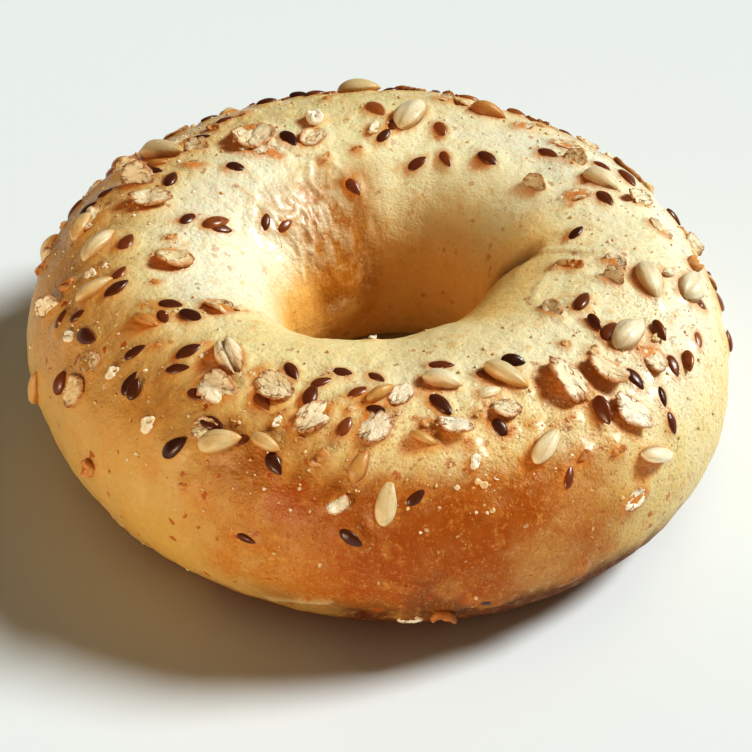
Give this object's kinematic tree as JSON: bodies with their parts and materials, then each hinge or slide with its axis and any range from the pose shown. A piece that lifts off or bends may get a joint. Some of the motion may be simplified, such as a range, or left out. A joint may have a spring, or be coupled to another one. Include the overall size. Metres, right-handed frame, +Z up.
{
  "type": "seeded bagel",
  "caption": "Whole round bread ring with a glossy golden crust, sunflower kernels, oat flakes and flax seeds baked onto its top and shoulders.",
  "frame": {"origin": "under the middle of the ring, on the surface that its flat base rests on", "axes": "+Z up through the hole, +X to the side with the crease in the hole"},
  "size_m": [0.1194, 0.1194, 0.0412],
  "materials": {
    "crust": "satin, golden cream on top and orange brown on the lower wall",
    "flax": "glossy dark brown seed coat",
    "sunflower": "satin, grey cream, toasted at the edges",
    "oat": "matte, floury cream with tan edges"
  },
  "bodies": {
    "root": {"bagel": "crust"}
  },
  "joints": []
}
